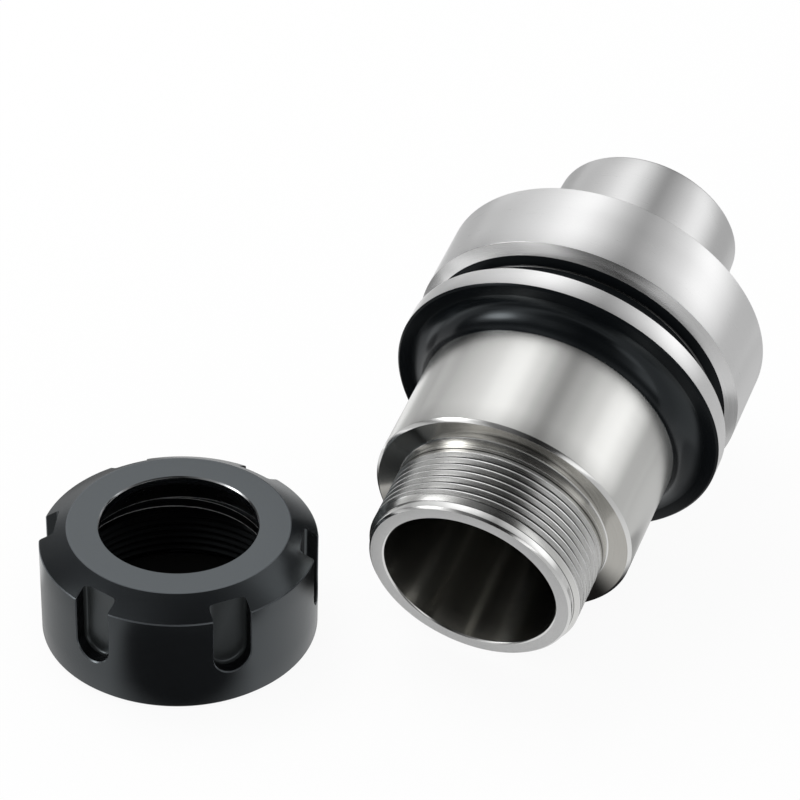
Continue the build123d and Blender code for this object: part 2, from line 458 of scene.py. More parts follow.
def steel(
    name,
    axes,
    light,
    dark,
    rough,
    lines,
    grain,
    blur=0.0,
    bump=0.0,
    metallic=1.0,
    ior=1.5,
    rough_spread=0.08,
    oxide=False,
):
    """A turned steel surface between two tones. axes is the empty whose z is the turned axis. lines
    is how far the turning marks lighten and darken it, grain is fine speckle, blur is how far the
    marks spread a reflection along the axis, and bump is their depth. oxide tints reflections blue."""
    material = bpy.data.materials.new(name)
    tree = cleared_tree(material)
    link = tree.links.new
    output = node(tree, "ShaderNodeOutputMaterial")
    shader = node(tree, "ShaderNodeBsdfPrincipled")
    link(shader.outputs["BSDF"], output.inputs["Surface"])
    shader.inputs["Metallic"].default_value = metallic
    shader.inputs["IOR"].default_value = ior
    if oxide:
        shader.inputs["Specular Tint"].default_value = OXIDE_TINT
    place = node(tree, "ShaderNodeTexCoord")
    place.object = axes
    x, y, z = split_xyz(tree, place.outputs["Object"])

    # Turning marks change quickly along the profile and slowly round the axis. The distance from
    # the axis counts too, so that faces square to it have them.
    radius = maths(tree, "SQRT", maths(tree, "MULTIPLY_ADD", y, y, maths(tree, "MULTIPLY", x, x)))
    joined = node(tree, "ShaderNodeCombineXYZ")
    link(maths(tree, "MULTIPLY", x, ROUND_SHARE), joined.inputs[0])
    link(maths(tree, "MULTIPLY", y, ROUND_SHARE), joined.inputs[1])
    link(maths(tree, "MULTIPLY_ADD", radius, RADIUS_SHARE, z), joined.inputs[2])
    marks = noise(tree, joined.outputs[0], MARK_SCALE, 3.0, 0.7)
    speck = noise(tree, place.outputs["Object"], SPECK_SCALE, 2.0)
    cloud = noise(tree, place.outputs["Object"], CLOUD_SCALE, 3.0)

    tone = maths(tree, "MULTIPLY_ADD", marks, lines * 2.0, 0.5)
    tone = maths(tree, "MULTIPLY_ADD", speck, grain * 2.0, tone)
    tone = maths(tree, "MULTIPLY_ADD", cloud, CLOUD_DEPTH, tone)
    tone.node.use_clamp = True
    tones = node(tree, "ShaderNodeMix", data_type="RGBA")
    link(tone, tones.inputs["Factor"])
    tones.inputs["A"].default_value = (*dark, 1.0)
    tones.inputs["B"].default_value = (*light, 1.0)
    link(tones.outputs["Result"], shader.inputs["Base Color"])
    link(maths(tree, "MULTIPLY_ADD", marks, rough_spread, rough), shader.inputs["Roughness"])
    if blur:
        tangent = node(tree, "ShaderNodeTangent", direction_type="UV_MAP", uv_map="turned")
        link(tangent.outputs[0], shader.inputs["Tangent"])
        shader.inputs["Anisotropic"].default_value = blur
        # A quarter turn, so that the marks spread reflections along the axis
        shader.inputs["Anisotropic Rotation"].default_value = 0.25
    if bump:
        height = node(tree, "ShaderNodeBump")
        height.inputs["Strength"].default_value = 1.0
        height.inputs["Distance"].default_value = bump * MM
        link(tone, height.inputs["Height"])
        link(height.outputs[0], shader.inputs["Normal"])
    return material


# Finishes of the chuck body
SATIN = "satin_ground_steel"
GROUND = "groove_steel"
BLACK = "black_oxide"
POLISHED = "polished_steel"
SHADED_TURNED = "dark_turned_steel"
EDGE = "bright_edge_steel"
CREST = "thread_crest_highlight"
FLANK = "thread_flank_steel"
ROOT = "thread_root_shade"
FACE = "nose_face_steel"
SOCKET = "socket_steel"
DEEP = "deep_bore_steel"
SEAM_AND_HIGHLIGHT = "oxide_seam"
SHANK = "shank_steel"
FILLET_BLACK = "fillet_oxide"

BODY_FINISHES = {
    SATIN: dict(light=grey(0.99), dark=grey(0.89), rough=0.29, lines=0.3, grain=0.3, blur=0.6, bump=0.003),
    GROUND: dict(light=grey(0.92), dark=grey(0.74), rough=0.22, lines=0.4, grain=0.3, blur=0.5, bump=0.003),
    BLACK: dict(
        light=(0.005, 0.006, 0.007),
        dark=(0.003, 0.004, 0.005),
        rough=0.22,
        lines=0.2,
        grain=0.3,
        blur=0.3,
        bump=0.001,
        metallic=0.0,
        ior=1.22,
        oxide=True,
    ),
    POLISHED: dict(
        light=(0.90, 0.90, 0.88),
        dark=(0.82, 0.82, 0.80),
        rough=0.22,
        lines=0.15,
        grain=0.05,
        blur=0.75,
        bump=0.001,
    ),
    # The shoulder's turned steel is painted darker than the neck's, a painted shade for the dark table it
    # reflects
    SHADED_TURNED: dict(
        light=(0.64, 0.625, 0.585),
        dark=(0.46, 0.45, 0.42),
        rough=0.13,
        lines=0.4,
        grain=0.1,
        blur=0.3,
        rough_spread=0.03,
    ),
    EDGE: dict(light=(0.95, 0.95, 0.94), dark=(0.88, 0.88, 0.87), rough=0.15, lines=0.1, grain=0.1, blur=0.3),
    # The thread's crests are whiter and less metallic than its flanks, a painted highlight
    CREST: dict(light=grey(1.0), dark=grey(0.94), rough=0.25, lines=0.1, grain=0.1, blur=0.3, metallic=0.85),
    FLANK: dict(
        light=(0.76, 0.76, 0.75),
        dark=(0.46, 0.46, 0.45),
        rough=0.28,
        lines=0.9,
        grain=0.5,
        blur=0.3,
        bump=0.004,
    ),
    # The thread's roots are near black, a painted shade in the grooves
    ROOT: dict(light=grey(0.10), dark=grey(0.05), rough=0.35, lines=0.4, grain=0.3, blur=0.3, bump=0.002),
    FACE: dict(
        light=grey(0.64),
        dark=(0.53, 0.53, 0.525),
        rough=0.42,
        lines=0.3,
        grain=0.6,
        blur=0.2,
        bump=0.004,
        metallic=0.4,
    ),
    # The socket's steel is painted darker than the outside steel, and the deep bore darker still: painted
    # shade inside the hollow
    SOCKET: dict(
        light=(0.40, 0.395, 0.37),
        dark=(0.27, 0.267, 0.255),
        rough=0.16,
        lines=0.3,
        grain=0.4,
        blur=0.95,
        bump=0.001,
    ),
    DEEP: dict(
        light=(0.10, 0.10, 0.09),
        dark=(0.05, 0.05, 0.045),
        rough=0.45,
        lines=0.4,
        grain=0.4,
        blur=0.2,
        bump=0.002,
    ),
    # A grey line: a painted highlight at the groove's rear root corner, and a dark seam at the foot of the
    # nose chamfer
    SEAM_AND_HIGHLIGHT: dict(light=grey(0.26), dark=grey(0.16), rough=0.30, lines=0.3, grain=0.3, blur=0.3),
    # The shank's steel is painted darker than the flange's satin steel, a painted shade for the darker light
    # it reflects
    SHANK: dict(light=grey(0.84), dark=grey(0.72), rough=0.29, lines=0.3, grain=0.3, blur=0.6, bump=0.003),
    FILLET_BLACK: dict(
        light=(0.004, 0.005, 0.006),
        dark=(0.002, 0.003, 0.004),
        rough=0.19,
        lines=0.2,
        grain=0.3,
        blur=0.3,
        bump=0.001,
        metallic=0.0,
        ior=1.5,
        oxide=True,
    ),
}

# Finishes of the nut
NUT_BLACK = "nut_black_oxide"
NUT_FACE = "nut_face_oxide"
NUT_RIDGE = "nut_edge_oxide"
NUT_INNER = "nut_inner_oxide"
NUT_SLOT = "nut_slot_oxide"
NUT_RIM = "nut_rim_oxide"
NUT_HOLE_EDGE = "nut_hole_edge"

NUT_FINISHES = {
    NUT_BLACK: dict(
        light=(0.005, 0.006, 0.007),
        dark=(0.003, 0.003, 0.004),
        rough=0.24,
        lines=0.2,
        grain=0.3,
        blur=0.3,
        bump=0.001,
        metallic=0.0,
        ior=1.9,
        oxide=True,
    ),
    # The front ring is rougher than the rest of the nut, and its lighter grey is a painted sheen
    NUT_FACE: dict(
        light=(0.034, 0.038, 0.042),
        dark=(0.021, 0.024, 0.027),
        rough=0.38,
        lines=0.3,
        grain=0.8,
        blur=0.3,
        bump=0.003,
        metallic=0.0,
        ior=2.0,
        oxide=True,
    ),
    # Bright bands on the seat's and the lip's edges, a painted highlight
    NUT_RIDGE: dict(
        light=(0.75, 0.76, 0.77),
        dark=(0.60, 0.61, 0.62),
        rough=0.30,
        lines=0.1,
        grain=0.2,
        blur=0.2,
        bump=0.001,
        metallic=0.5,
        ior=2.0,
        oxide=True,
    ),
    # The inside of the nut and the slots' walls are darkest and reflect least, a painted shade
    NUT_INNER: dict(
        light=(0.003, 0.003, 0.004),
        dark=(0.002, 0.002, 0.002),
        rough=0.28,
        lines=0.2,
        grain=0.3,
        blur=0.3,
        bump=0.002,
        metallic=0.0,
        ior=1.5,
        oxide=True,
    ),
    NUT_SLOT: dict(
        light=(0.020, 0.022, 0.022),
        dark=(0.010, 0.011, 0.011),
        rough=0.30,
        lines=0.2,
        grain=0.5,
        bump=0.003,
        metallic=0.0,
        ior=1.8,
        oxide=True,
    ),
    # Grey bands on the cone's edge, the front ring's edge and the slots' mouths, a painted highlight
    NUT_RIM: dict(
        light=(0.085, 0.092, 0.10),
        dark=(0.06, 0.065, 0.07),
        rough=0.25,
        lines=0.1,
        grain=0.2,
        blur=0.2,
        bump=0.001,
        metallic=0.3,
        ior=2.0,
        oxide=True,
    ),
    # A bright band on the hole's chamfer, a painted highlight
    NUT_HOLE_EDGE: dict(
        light=(0.56, 0.57, 0.58), dark=(0.44, 0.45, 0.46), rough=0.16, lines=0.1, grain=0.2, blur=0.2
    ),
}


def axes_empty(name, origin, axis, up, side):
    """An empty at the turned axis, for the materials' coordinates."""
    empty = bpy.data.objects.new(name, None)
    bpy.context.scene.collection.objects.link(empty)
    turn = Matrix((up, side, axis)).transposed().to_4x4()
    turn.translation = origin * MM
    empty.matrix_world = turn
    empty.hide_render = True
    return empty


body_axes = axes_empty("body_axes", GAUGE_POINT, BODY_AXIS, BODY_UP, BODY_SIDE)
nut_axes = axes_empty("nut_axes", NUT_BASE, NUT_AXIS, NUT_UP, NUT_SIDE)
body_materials = [steel(name, body_axes, **finish) for name, finish in BODY_FINISHES.items()]
nut_materials = [steel(name, nut_axes, **finish) for name, finish in NUT_FINISHES.items()]


# Chuck body. A profile's points are (along, radius, corner radius, finish of the step that follows).


def shank_profile():
    """Outside of the shank, from the rear end to the gauge face."""
    shank_corner = SHANK_END_CHAMFER - SHANK_LENGTH
    relief_radius = taper_radius(-RELIEF_WIDTH) - RELIEF_DEPTH
    seat_radius = taper_radius(-RELIEF_WIDTH) + FACE_SEAT_CLEARANCE
    return [
        (-SHANK_LENGTH, DRAWBAR_MOUTH_RADIUS + DRAWBAR_MOUTH_CHAMFER, 0.0, SHANK),
        (-SHANK_LENGTH, SHANK_END_RADIUS - SHANK_END_CHAMFER, 0.3, SHANK),
        (shank_corner, taper_radius(shank_corner), 0.5, SHANK),
        (-RELIEF_WIDTH, taper_radius(-RELIEF_WIDTH), 0.1, GROUND),
        (RELIEF_DEPTH - RELIEF_WIDTH, relief_radius, 0.1, GROUND),
        (FACE_RELIEF_DEPTH, relief_radius, 0.1, GROUND),
        (FACE_RELIEF_DEPTH, seat_radius - FACE_RELIEF_DEPTH, 0.0, GROUND),
        (0.0, seat_radius, 0.0, SATIN),
    ]


def flange_profile():
    """Flange with its groove, and the fillet to the neck."""
    slope = tan(radians(GROOVE_HALF_ANGLE))
    bare_width = BARE_FLANK_DEPTH * slope
    flank_width = GROOVE_DEPTH * slope
    bare_radius = FLANGE_RADIUS - BARE_FLANK_DEPTH
    root_radius = FLANGE_RADIUS - GROOVE_DEPTH
    turns = [pi / 2 * k / FILLET_STEPS for k in range(FILLET_STEPS + 1)]
    fillet = [
        (
            FLANGE_WIDTH + FLANGE_ROOT_FILLET * (1 - cos(turn)),
            NECK_RADIUS + FLANGE_ROOT_FILLET * (1 - sin(turn)),
            0.0,
            FILLET_BLACK,
        )
        for turn in turns
    ]
    return [
        (0.0, FLANGE_RADIUS - FLANGE_EDGE_CHAMFER, 0.12, EDGE),
        (FLANGE_EDGE_CHAMFER, FLANGE_RADIUS, 0.12, SATIN),
        (GROOVE_REAR, FLANGE_RADIUS, 0.08, GROUND),
        (GROOVE_REAR + bare_width, bare_radius, 0.0, BLACK),
        # The grey band on the rear flank, down to the root, is a painted highlight
        (GROOVE_REAR + GROOVE_HIGHLIGHT_DEPTH * slope, FLANGE_RADIUS - GROOVE_HIGHLIGHT_DEPTH, 0.0, SEAM_AND_HIGHLIGHT),
        (GROOVE_REAR + flank_width, root_radius, 0.1, BLACK),
        (GROOVE_FRONT - flank_width, root_radius, 0.4, BLACK),
        (GROOVE_FRONT - bare_width, bare_radius, 0.0, GROUND),
        (GROOVE_FRONT, FLANGE_RADIUS, 0.08, SATIN),
        (RIM_CONTACT, FLANGE_RADIUS, 0.1, BLACK),
        (FLANGE_WIDTH, FLANGE_RADIUS - FLANGE_EDGE_CHAMFER, 0.15, BLACK),
        *fillet,
    ]


def neck_profile():
    """Neck and shoulder, to where the nose thread starts."""
    fillet_end = FLANGE_WIDTH + FLANGE_ROOT_FILLET
    corner = SHOULDER_ROOT_FILLET * 0.3
    return [
        # A thin band of bright edge steel on the plain neck, a painted highlight line
        (fillet_end + NECK_HIGHLIGHT_START, NECK_RADIUS, 0.0, EDGE),
        (fillet_end + NECK_HIGHLIGHT_STOP, NECK_RADIUS, 0.0, POLISHED),
        (NECK_CONTACT, NECK_RADIUS, 0.1, EDGE),
        # The shoulder face, in turned steel with painted shade
        (SHOULDER, NECK_RADIUS - NECK_EDGE_CHAMFER, 0.06, SHADED_TURNED),
        (SHOULDER, NOSE_RADIUS + SHOULDER_ROOT_FILLET, 0.0, EDGE),
        (SHOULDER + corner, NOSE_RADIUS + corner, 0.0, EDGE),
        (SHOULDER + SHOULDER_ROOT_FILLET, NOSE_RADIUS, 0.0, POLISHED),
        (NOSE_THREAD_START, NOSE_RADIUS, 0.0, POLISHED),
    ]


def nose_profile():
    """End of the nose, from the thread's chamfer to the collet socket's mouth."""
    socket_slope = tan(radians(SOCKET_HALF_ANGLE))
    socket_start_radius = SOCKET_MOUTH_RADIUS - SOCKET_MOUTH_CHAMFER * socket_slope
    return [
        (NOSE_CHAMFER_START, NOSE_RADIUS - NOSE_CHAMFER_START_DROP, 0.0, POLISHED),
        (NOSE_CHAMFER_STOP - NOSE_SEAM_HALF_LENGTH, PILOT_RADIUS + NOSE_SEAM_HALF_DROP, 0.05, SEAM_AND_HIGHLIGHT),
        (NOSE_CHAMFER_STOP + NOSE_SEAM_HALF_LENGTH, PILOT_RADIUS - NOSE_SEAM_HALF_DROP, 0.0, EDGE),
        (NOSE_FACE - NOSE_EDGE_CHAMFER, PILOT_RADIUS, 0.05, EDGE),
        (NOSE_FACE, PILOT_RADIUS - NOSE_EDGE_CHAMFER, 0.05, FACE),
        (NOSE_FACE, SOCKET_MOUTH_RADIUS + SOCKET_MOUTH_CHAMFER, 0.05, EDGE),
        (NOSE_FACE - SOCKET_MOUTH_CHAMFER, socket_start_radius, 0.05, SOCKET),
    ]


def hollow_profile():
    """Collet socket, passage and drawbar cavity, to the rear end of the shank."""
    socket_end_radius = SOCKET_MOUTH_RADIUS - SOCKET_TAPER_LENGTH * tan(radians(SOCKET_HALF_ANGLE))
    drill_point_start = NOSE_FACE - SOCKET_DEPTH
    cavity_rise = DRAWBAR_CAVITY_RADIUS - DRAWBAR_MOUTH_RADIUS
    cavity_start = cavity_rise / tan(radians(DRAWBAR_SHOULDER_ANGLE)) - DRAWBAR_SHOULDER_SETBACK
    return [
        (NOSE_FACE - SOCKET_TAPER_LENGTH, socket_end_radius, 0.0, SOCKET),
        (drill_point_start, socket_end_radius, 0.2, DEEP),
        (drill_point_start - DRILL_POINT_LENGTH, PASSAGE_RADIUS, 0.2, DEEP),
        (DRAWBAR_CAVITY_FLOOR, PASSAGE_RADIUS, 0.2, DEEP),
        (DRAWBAR_CAVITY_FLOOR, DRAWBAR_CAVITY_RADIUS, 1.0, DEEP),
        (cavity_start, DRAWBAR_CAVITY_RADIUS, 0.3, DEEP),
        (-DRAWBAR_SHOULDER_SETBACK, DRAWBAR_MOUTH_RADIUS, 0.3, SATIN),
        (DRAWBAR_MOUTH_CHAMFER - SHANK_LENGTH, DRAWBAR_MOUTH_RADIUS, 0.15, EDGE),
        (-SHANK_LENGTH, DRAWBAR_MOUTH_RADIUS + DRAWBAR_MOUTH_CHAMFER, 0.0, SATIN),
    ]


def make_chuck_body():
    """The whole chuck body as one closed mesh: outside, nose thread, nose end and hollow."""
    body = Turned(GAUGE_POINT, BODY_AXIS, BODY_UP, BODY_SIDE, BODY_SEGMENTS, BODY_FINISHES)
    outside = shank_profile() + flange_profile() + neck_profile()
    outside_rings = body.rings(subdivided(softened(outside)))
    inside = nose_profile() + hollow_profile()
    inside_rings = body.rings(subdivided(softened(inside)), last=outside_rings[0])
    thread_end_ring = body.ring(NOSE_THREAD_STOP, NOSE_RADIUS)
    thread(
        body,
        NOSE_THREAD_START,
        NOSE_THREAD_STOP,
        NOSE_RADIUS,
        NOSE_THREAD_DEPTH,
        (CREST, FLANK, ROOT),
        outside_rings[-1],
        thread_end_ring,
        phase=0.2,
        fade_in=(0.3, 0.9),
    )
    body.band(thread_end_ring, inside_rings[0], 0.0, THREAD_ROW_V, EDGE)
    made = body.made("chuck_body_visual", body_materials)
    made.data.set_sharp_from_angle(angle=radians(SHARP_ANGLE))
    return made


# Clamping nut


def nut_outside_radius(height):
    """Radius of the nut's outside at a height, on the cylinder or on the cone above it."""
    above = max(0.0, height - (NUT_HEIGHT - NUT_CONE_DROP))
    return max(CONE_LEAST_RADIUS, NUT_RADIUS - above * NUT_CONE_WIDTH / NUT_CONE_DROP)


def nut_profile():
    """The nut from its base, over the outside and the front, down to the thread's relief."""
    heading = radians(LIP_HEADING)
    lip_shift = (LIP_OFFSET * cos(heading), LIP_OFFSET * sin(heading))
    seat_slope = tan(radians(SEAT_HALF_ANGLE))
    seat_end = NUT_HEIGHT - NUT_HOLE_DEPTH - (SEAT_RADIUS - NUT_HOLE_RADIUS) / seat_slope
    lip_end = seat_end - LIP_THICKNESS
    relief_end = lip_end - THREAD_RELIEF_WIDTH
    cone_start = NUT_HEIGHT - NUT_CONE_DROP
    cone_edge_end = cone_start + CONE_EDGE_ABOVE
    ring_radius = NUT_RADIUS - NUT_CONE_WIDTH
    profile = [
        (0.0, THREAD_RELIEF_RADIUS, 0.0, NUT_BLACK),
        (0.0, NUT_RADIUS - NUT_BASE_CHAMFER, 0.1, NUT_BLACK),
        (NUT_BASE_CHAMFER, NUT_RADIUS, 0.2, NUT_BLACK),
        (cone_start - CONE_EDGE_BELOW, NUT_RADIUS, 0.12, NUT_RIM),
        (cone_edge_end, nut_outside_radius(cone_edge_end), 0.12, NUT_BLACK),
        (NUT_HEIGHT - RING_EDGE_DROP, ring_radius + RING_EDGE_HALF_WIDTH, 0.03, NUT_RIM),
        (NUT_HEIGHT, ring_radius - RING_EDGE_HALF_WIDTH, 0.03, NUT_FACE),
        (NUT_HEIGHT, NUT_HOLE_RADIUS + NUT_HOLE_CHAMFER, 0.0, NUT_HOLE_EDGE),
        (NUT_HEIGHT - NUT_HOLE_CHAMFER, NUT_HOLE_RADIUS, 0.08, NUT_BLACK),
        (NUT_HEIGHT - NUT_HOLE_DEPTH, NUT_HOLE_RADIUS, 0.12, NUT_INNER),
        (seat_end + SEAT_EDGE_HEIGHT, SEAT_RADIUS - SEAT_EDGE_HEIGHT * seat_slope, 0.0, NUT_RIDGE),
        (seat_end, SEAT_RADIUS, 0.0, NUT_INNER),
        (seat_end, SEAT_RADIUS, 0.0, NUT_RIDGE, lip_shift),
        (seat_end - LIP_TOP_EDGE_HEIGHT, SEAT_RADIUS, 0.0, NUT_INNER, lip_shift),
        (lip_end + LIP_BOTTOM_EDGE_HEIGHT, SEAT_RADIUS, 0.0, NUT_RIDGE, lip_shift),
        (lip_end, SEAT_RADIUS, 0.0, NUT_INNER, lip_shift),
        (lip_end, THREAD_RELIEF_RADIUS, 0.0, NUT_INNER),
        (relief_end, THREAD_RELIEF_RADIUS, 0.0, NUT_INNER),
        (relief_end, NUT_THREAD_RADIUS, 0.0, NUT_INNER),
    ]
    return profile, relief_end


def slot_outline(half_width):
    """Points (across, height) of a U: down one side, round the bottom and up the other."""
    steps = 28
    down = [(half_width, height) for height in reversed(SLOT_SIDE_HEIGHTS)]
    turns = [pi * k / steps for k in range(steps + 1)]
    bottom = [(half_width * cos(turn), SLOT_END_HEIGHT - half_width * sin(turn)) for turn in turns]
    up = [(-half_width, height) for height in SLOT_SIDE_HEIGHTS]
    return down + bottom + up


def slot_rings():
    """Rings (across, height, distance from the nut's axis) of the cutter, from floor to outside:
    the rounded corner at the floor, the slot's mouth, its chamfer and an outer end."""
    half = SLOT_WIDTH / 2
    floor_reach = SLOT_FLOOR_RADIUS + SLOT_CORNER_RADIUS
    steps = 4
    rings = []
    for k in range(steps + 1):
        turn = pi / 2 * k / steps
        width = half - SLOT_CORNER_RADIUS * (1 - sin(turn))
        reach = SLOT_FLOOR_RADIUS + SLOT_CORNER_RADIUS * (1 - cos(turn))
        rings.append([(y, z, reach) for y, z in slot_outline(width)])
    mouth = []
    for y, z in slot_outline(half):
        surface = sqrt(max(1.0, nut_outside_radius(z) ** 2 - y * y))
        mouth.append((y, z, max(surface - SLOT_MOUTH_CHAMFER, floor_reach + CUTTER_LEAST_DEPTH)))
    wide = slot_outline(half + SLOT_MOUTH_CHAMFER)
    rings.append(mouth)
    rings.append([(y, z, low[2] + SLOT_MOUTH_CHAMFER) for (y, z), low in zip(wide, mouth)])
    rings.append([(y, z, NUT_RADIUS + CUTTER_OVERRUN) for y, z in wide])
    return rings


def slot_cutter(heading):
    """A closed cutter for one wrench slot."""
    work = bmesh.new()
    out = Vector((cos(heading), sin(heading), 0.0))
    across = Vector((-sin(heading), cos(heading), 0.0))
    rings = []
    for ring in slot_rings():
        points = [(NUT_BASE + out * x + across * y + Vector((0, 0, z))) * MM for y, z, x in ring]
        rings.append([work.verts.new(point) for point in points])
    count = len(rings[0])
    for a, b in zip(rings, rings[1:]):
        for i in range(count):
            j = (i + 1) % count
            work.faces.new((a[i], a[j], b[j], b[i]))
    work.faces.new(rings[0])
    work.faces.new(list(reversed(rings[-1])))
    for face in work.faces:
        face.smooth = True
    bmesh.ops.recalc_face_normals(work, faces=work.faces)
    mesh = bpy.data.meshes.new("slot_cutter")
    work.to_mesh(mesh)
    work.free()
    for material in nut_materials:
        mesh.materials.append(material)
    # The slot's walls are darkest, a painted shade, and its mouth has a painted highlight line.
    wall_band = len(rings) - 4
    band_finish = {wall_band: NUT_INNER, wall_band + 1: NUT_RIM}
    finishes = list(NUT_FINISHES)
    for k, polygon in enumerate(mesh.polygons):
        polygon.material_index = finishes.index(band_finish.get(k // count, NUT_SLOT))
    cutter = bpy.data.objects.new("slot_cutter", mesh)
    bpy.context.scene.collection.objects.link(cutter)
    return cutter


def cut_slots(thing):
    """Cuts the wrench slots into the nut."""
    bpy.context.view_layer.objects.active = thing
    for k in range(SLOT_COUNT):
        cutter = slot_cutter(radians(SLOT_HEADING + 360 / SLOT_COUNT * k))
        cut = thing.modifiers.new("slot", "BOOLEAN")
        cut.operation = "DIFFERENCE"
        cut.solver = "EXACT"
        cut.material_mode = "TRANSFER"
        cut.object = cutter
        bpy.ops.object.modifier_apply(modifier=cut.name)
        bpy.data.objects.remove(cutter)


def make_clamping_nut():
    """The whole nut as one closed mesh. Its thread runs from the entry chamfer up to the relief."""
    nut = Turned(NUT_BASE, NUT_AXIS, NUT_UP, NUT_SIDE, NUT_SEGMENTS, NUT_FINISHES)
    profile, relief_end = nut_profile()
    rings = nut.rings(subdivided(softened(profile)))
    entry_height = THREAD_RELIEF_RADIUS - NUT_THREAD_RADIUS
    entry = [
        (entry_height, NUT_THREAD_RADIUS, NUT_INNER, (0.0, 0.0)),
        (0.0, THREAD_RELIEF_RADIUS, NUT_INNER, (0.0, 0.0)),
    ]
    entry_rings = nut.rings(entry, last=rings[0])
    thread(
        nut,
        entry_height,
        relief_end,
        NUT_THREAD_RADIUS,
        -NUT_THREAD_DEPTH,
        (NUT_INNER, NUT_INNER, NUT_INNER),
        entry_rings[0],
        rings[-1],
    )
    made = nut.made("clamping_nut_visual", nut_materials)
    cut_slots(made)
    made.data.set_sharp_from_angle(angle=radians(SHARP_ANGLE))
    return made


chuck = make_chuck_body()
clamping_nut = make_clamping_nut()
for piece, part, finish in (
    (chuck, "chuck_body", "ground_steel"),
    (clamping_nut, "clamping_nut", "blackened_steel"),
):
    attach(piece, "root")
    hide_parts(part)


# Floor, world and lamp


def seen_directly(tree):
    """1 for the camera and for what steel reflects, and 0 for light that falls on the object."""
    paths = node(tree, "ShaderNodeLightPath")
    seen = maths(tree, "ADD", paths.outputs["Is Camera Ray"], paths.outputs["Is Glossy Ray"])
    seen = maths(tree, "ADD", seen, paths.outputs["Is Transmission Ray"])
    seen.node.use_clamp = True
    return seen


def blended(tree, share, first, second, output):
    """Shows the second shader where share is 1 and the first where it is 0."""
    blend = node(tree, "ShaderNodeMixShader")
    tree.links.new(share, blend.inputs[0])
    tree.links.new(first.outputs[0], blend.inputs[1])
    tree.links.new(second.outputs[0], blend.inputs[2])
    tree.links.new(blend.outputs[0], output.inputs["Surface"])


def glowing(tree, strength):
    """A material that only glows, at a level that follows a socket."""
    glow = node(tree, "ShaderNodeEmission")
    tree.links.new(strength, glow.inputs["Strength"])
    output = node(tree, "ShaderNodeOutputMaterial")
    tree.links.new(glow.outputs[0], output.inputs["Surface"])


FLOOR_SIZE = 6.0
FLOOR_GREY = 0.9
# How much of the floor is plain white to the camera. The rest is matte and keeps the shadow.
FLOOR_WHITE_SHARE = 0.93
WORLD_STRENGTH = 0.75


def make_floor():
    """A pale floor that keeps a faint shadow."""
    bpy.ops.mesh.primitive_plane_add(size=FLOOR_SIZE, location=(0.0, 0.0, 0.0))
    ground = bpy.context.object
    ground.name = "floor"
    material = bpy.data.materials.new("floor")
    tree = cleared_tree(material)
    matte = node(tree, "ShaderNodeBsdfDiffuse")
    matte.inputs["Color"].default_value = (*grey(FLOOR_GREY), 1.0)
    glow = node(tree, "ShaderNodeEmission")
    glow.inputs["Color"].default_value = (*grey(1.0), 1.0)
    share = maths(tree, "MULTIPLY", seen_directly(tree), FLOOR_WHITE_SHARE)
    blended(tree, share, matte, glow, node(tree, "ShaderNodeOutputMaterial"))
    ground.data.materials.append(material)


def make_world():
    """An even soft light all round, with a white background."""
    world = bpy.data.worlds.new("studio")
    bpy.context.scene.world = world
    tree = cleared_tree(world)
    backgrounds = []
    for strength in (WORLD_STRENGTH, 1.0):
        made = node(tree, "ShaderNodeBackground")
        made.inputs["Color"].default_value = (*grey(1.0), 1.0)
        made.inputs["Strength"].default_value = strength
        backgrounds.append(made)
    plain, bright = backgrounds
    blended(tree, seen_directly(tree), plain, bright, node(tree, "ShaderNodeOutputWorld"))


def make_lamp(name, place, target, size, power):
    """A square soft lamp aimed at a point. Its size and places are in metres."""
    data = bpy.data.lights.new(name, "AREA")
    data.shape = "RECTANGLE"
    data.size = size
    data.size_y = size
    data.energy = power
    made = bpy.data.objects.new(name, data)
    bpy.context.scene.collection.objects.link(made)
    made.location = place
    made.rotation_euler = (Vector(target) - Vector(place)).to_track_quat("-Z", "Y").to_euler()
    made.visible_glossy = False


make_floor()
make_world()
make_lamp("key_lamp", place=(-0.5, 0.2, 0.9), target=(0.0, 0.0, 0.03), size=0.6, power=4.0)


# Studio that only reflections see


def only_reflected(thing):
    """Makes a stage object that is seen in reflections and nowhere else."""
    thing.visible_camera = False
    thing.visible_diffuse = False
    thing.visible_transmission = False
    thing.visible_volume_scatter = False
    thing.visible_shadow = False


TENT_RADIUS = 2.0
# Soft strips along the chuck body, as (degrees about its axis from the top, level). The rear ones
# are wide and the front ones are narrow.
REAR_GAIN = 1.35
REAR_STRIPS = (
    (-180, 0.45), (-112, 0.34), (-101, 0.48), (-90, 0.74), (-76, 0.95), (-66, 0.88), (-50, 0.62),
    (-30, 0.40), (-16, 0.25), (-5, 0.42), (8, 0.68), (22, 0.93), (34, 0.88), (46, 0.68),
    (60, 0.56), (74, 0.46), (88, 0.29), (100, 0.23), (130, 0.40), (160, 0.60),
)
FRONT_GAIN = 2.2
FRONT_STRIPS = (
    (-180, 0.01), (-112, 0.02), (-94, 0.20), (-82, 0.48), (-68, 0.38), (-56, 0.14), (-36, 0.03),
    (-14, 0.01), (2, 0.06), (14, 0.13), (28, 0.14), (42, 0.50), (54, 1.0), (64, 0.74),
    (76, 0.10), (90, 0.02), (130, 0.01),
)
# How the strips fade along the axis: 0 is straight behind the body and 1 straight ahead of it
REAR_REACH = (
    (0.0, 0.25), (0.04, 0.6), (0.09, 1.0), (0.22, 1.0),
    (0.30, 0.35), (0.44, 0.12), (0.6, 0.02), (1.0, 0.0),
)
FRONT_REACH = (
    (0.0, 0.0), (0.50, 0.0), (0.58, 0.45), (0.66, 1.0),
    (0.80, 1.0), (0.86, 0.45), (0.95, 0.35), (1.0, 0.3),
)
